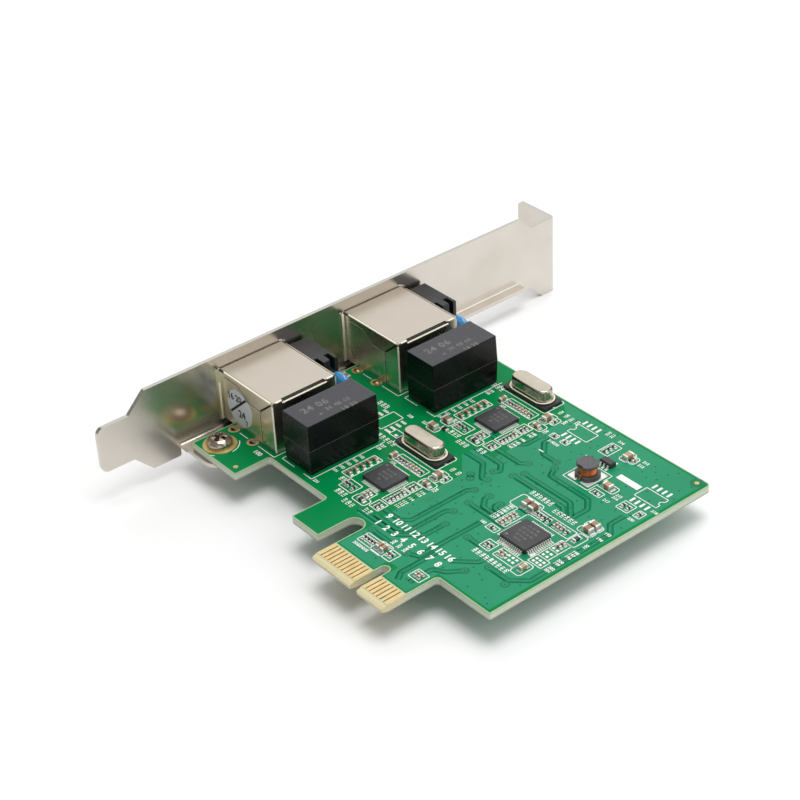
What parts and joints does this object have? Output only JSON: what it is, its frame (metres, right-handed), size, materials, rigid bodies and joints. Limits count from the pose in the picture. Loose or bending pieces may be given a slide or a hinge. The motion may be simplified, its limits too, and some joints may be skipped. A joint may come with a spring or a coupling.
{
  "type": "network interface card",
  "caption": "Dual-port network interface card with a PCI Express edge connector, shielded sockets, isolation transformers and a full-height steel bracket.",
  "frame": {"origin": "centre of the edge connector's key notch (x), tip of the connector (y), component side of the board (z)", "axes": "+X from the bracket to the free edge of the board, +Y away from the connector tip, +Z out of the component side"},
  "size_m": [0.0935, 0.1201, 0.0216],
  "materials": {
    "board": "gloss",
    "gold": "polished",
    "bracket": "bright nickel",
    "screw": "satin",
    "shield": "satin nickel",
    "socket_plastic": "matte",
    "spring_gold": "polished",
    "holder_plastic": "matte",
    "lens": "gloss",
    "moulding": "matte",
    "disc_blue": "gloss",
    "chip_black": "matte",
    "tin": "satin",
    "crystal_base": "matte",
    "crystal_can": "bright",
    "ferrite": "matte",
    "copper": "enamelled",
    "capacitor_ceramic": "matte",
    "resistor_glaze": "gloss",
    "label": "matte",
    "solder": "satin"
  },
  "bodies": {
    "root": {"board": "board", "edge_contacts": "gold", "bracket": "bracket", "bracket_screw": "screw", "inspection_sticker": "label", "solder_pins": "solder", "switch_chip": "chip_black", "switch_leads": "tin", "inductor_core": "ferrite", "inductor_winding": "copper", "regulator_body": "chip_black", "regulator_leads": "tin", "chip_capacitors": "capacitor_ceramic", "capacitor_ends": "tin", "chip_resistors": "resistor_glaze", "resistor_ends": "tin", "port_1_shield": "shield", "port_1_housing": "socket_plastic", "port_1_contacts": "spring_gold", "light_1_holder": "holder_plastic", "light_1_lenses": "lens", "transformer_1_base": "moulding", "transformer_1_cover": "moulding", "disc_capacitor_1": "disc_blue", "phy_1_chip": "chip_black", "phy_1_pads": "tin", "crystal_1_base": "crystal_base", "crystal_1_can": "crystal_can", "crystal_1_leads": "tin", "port_2_shield": "shield", "port_2_housing": "socket_plastic", "port_2_contacts": "spring_gold", "light_2_holder": "holder_plastic", "light_2_lenses": "lens", "transformer_2_base": "moulding", "transformer_2_cover": "moulding", "disc_capacitor_2": "disc_blue", "phy_2_chip": "chip_black", "phy_2_pads": "tin", "crystal_2_base": "crystal_base", "crystal_2_can": "crystal_can", "crystal_2_leads": "tin"}
  },
  "joints": []
}
